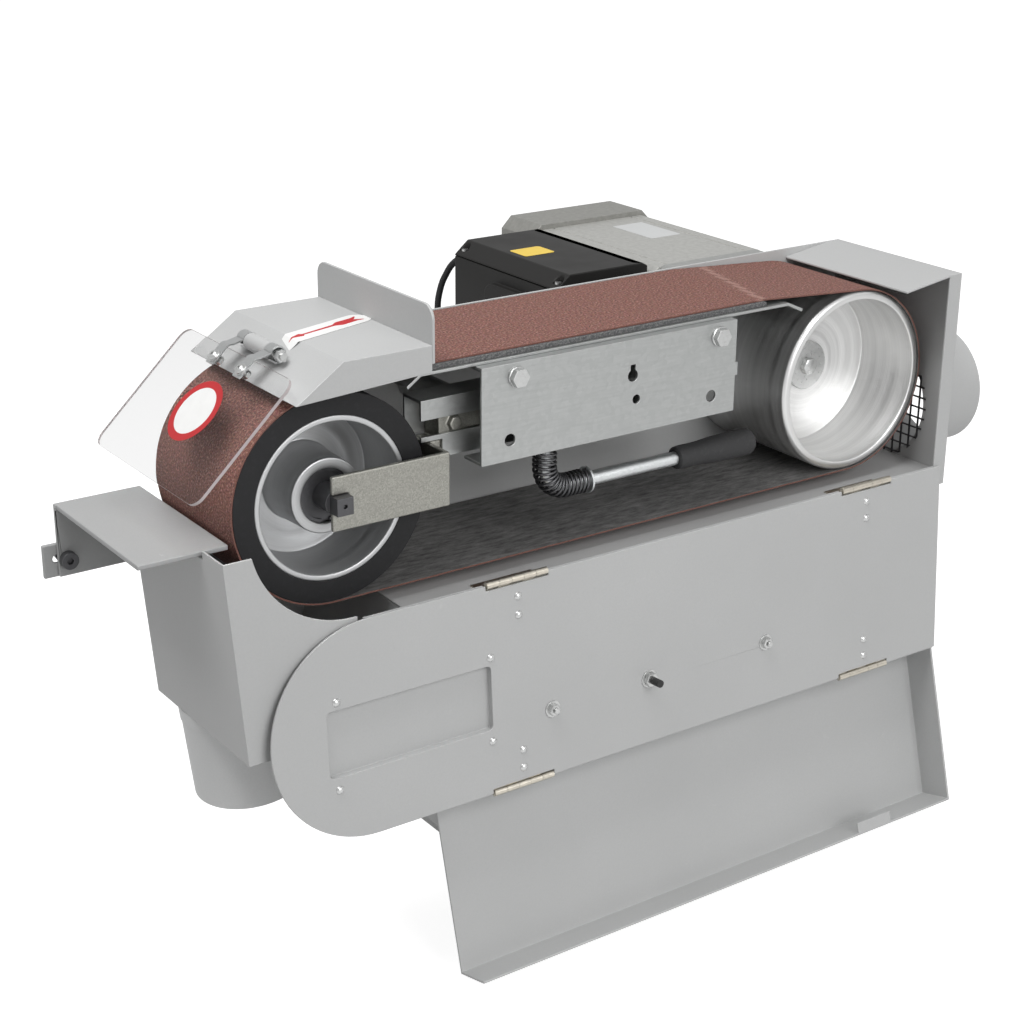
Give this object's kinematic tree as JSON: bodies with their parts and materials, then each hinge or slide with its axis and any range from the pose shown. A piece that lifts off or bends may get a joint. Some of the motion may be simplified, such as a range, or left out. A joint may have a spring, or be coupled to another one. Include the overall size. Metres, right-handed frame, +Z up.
{
  "type": "bench belt sander",
  "caption": "Horizontal belt sander with a rubber contact wheel, tool rest, clear guard, hinged door and lid, motor and pedestal.",
  "frame": {"origin": "centre of the foot plate's bolt pattern on its underside", "axes": "+X towards the drive wheel and exhaust, +Y towards the motor, +Z up"},
  "size_m": [1.053, 0.6494, 0.693],
  "materials": {
    "painted": "fine textured grey powder coat",
    "galv": "dull galvanised",
    "zinc": "bright zinc plated",
    "yokezinc": "yellowish zinc plated plate",
    "alu": "turned and cast",
    "motoralu": "painted cast aluminium",
    "rubber": "black, slightly scuffed",
    "dark": "blackened",
    "grip": "black",
    "clear": "clear polycarbonate",
    "graphite": "graphite coated cloth",
    "belt": "red-brown abrasive cloth",
    "blackbox": "black, fine grain",
    "green": "green",
    "red": "red",
    "cord": "black sheath"
  },
  "bodies": {
    "machine": {"back_wall": "painted", "belt_tray": "painted", "spark_box": "painted", "end_housing": "painted", "exhaust_tube": "painted", "exhaust_mesh": "galv", "spark_duct": "painted", "base_column": "painted", "foot_plate": "painted", "platen_channel": "galv", "channel_bolts": "zinc", "channel_spacers": "galv", "platen_plate": "galv", "graphite_pad": "graphite", "slide_rail": "galv", "hood": "painted", "fence": "painted", "guard_barrel": "painted", "motor_flange": "motoralu", "motor_screws": "zinc", "motor_housing": "motoralu", "motor_bearings": "dark", "fan_cowl": "motoralu", "switch_box": "blackbox", "box_cover": "blackbox", "cable_gland": "blackbox", "mains_cord": "cord", "cord_coil": "cord", "plug": "cord", "abrasive_belt": "belt", "rest_arm": "painted", "tray_hinges": "zinc"},
    "rotor": {"motor_shaft": "dark", "drive_wheel": "alu", "drive_bolt": "zinc", "cooling_fan": "grip"},
    "wheel_slide": {"yoke": "yokezinc", "slide_bar": "yokezinc", "wheel_axle": "dark"},
    "contact_wheel": {"wheel_hub": "alu", "wheel_tyre": "rubber", "wheel_bearings": "dark"},
    "release_lever": {"lever_shaft": "zinc", "lever_spring": "dark", "lever_rod": "zinc", "lever_grip": "grip"},
    "rest_slide": {"tool_rest": "painted", "rest_screw": "dark"},
    "guard": {"guard_screen": "clear", "guard_straps": "zinc", "guard_bolts": "zinc"},
    "door": {"door_panel": "painted", "door_plate": "painted", "door_handle": "grip", "door_hinges": "zinc"},
    "lid": {"lid_panel": "painted", "lid_hinges": "zinc"},
    "lock": {"lock_knob": "grip"},
    "start": {"start_button": "green"},
    "stop": {"stop_button": "red"}
  },
  "joints": [
    {"name": "drive_spin", "type": "hinge", "parent": "machine", "child": "rotor", "pos_m": [0.205, -0.085, 0.52], "axis": [0, 1, 0], "continuous": true},
    {"name": "lever_swing", "type": "hinge", "parent": "machine", "child": "release_lever", "pos_m": [-0.2, -0.155, 0.526], "axis": [0, 0, 1], "range_deg": [0, 28]},
    {"name": "wheel_shift", "type": "slide", "parent": "machine", "child": "wheel_slide", "axis": [1, 0, 0], "range_m": [0, 0.009]},
    {"name": "contact_spin", "type": "hinge", "parent": "wheel_slide", "child": "contact_wheel", "pos_m": [-0.44, -0.091, 0.52], "axis": [0, 1, 0], "continuous": true},
    {"name": "rest_shift", "type": "slide", "parent": "machine", "child": "rest_slide", "axis": [1, 0, 0], "range_m": [-0.008, 0]},
    {"name": "guard_tilt", "type": "hinge", "parent": "machine", "child": "guard", "pos_m": [-0.468, -0.088, 0.65], "axis": [0, 1, 0], "range_deg": [0, 90]},
    {"name": "door_swing", "type": "hinge", "parent": "machine", "child": "door", "pos_m": [-0.033, -0.19815, 0.4142], "axis": [-1, 0, 0], "range_deg": [0, 175.9]},
    {"name": "lid_fold", "type": "hinge", "parent": "door", "child": "lid", "pos_m": [-0.033, -0.21354, 0.19945], "axis": [-1, 0, 0], "range_deg": [0, 78.8]},
    {"name": "lock_turn", "type": "hinge", "parent": "door", "child": "lock", "pos_m": [-0.105, -0.1947, 0.26858], "axis": [0, 0.9974, -0.0715], "continuous": true},
    {"name": "start_press", "type": "slide", "parent": "machine", "child": "start", "axis": [1, 0, 0], "range_m": [0, 0.004], "stiffness_N_per_m": 1000},
    {"name": "stop_press", "type": "slide", "parent": "machine", "child": "stop", "axis": [1, 0, 0], "range_m": [0, 0.004], "stiffness_N_per_m": 1000}
  ],
  "couplings": [
    {"joint": "wheel_shift", "follows": "lever_swing", "m_per_rad": 0.018417},
    {"joint": "contact_spin", "follows": "drive_spin", "ratio": 1}
  ]
}
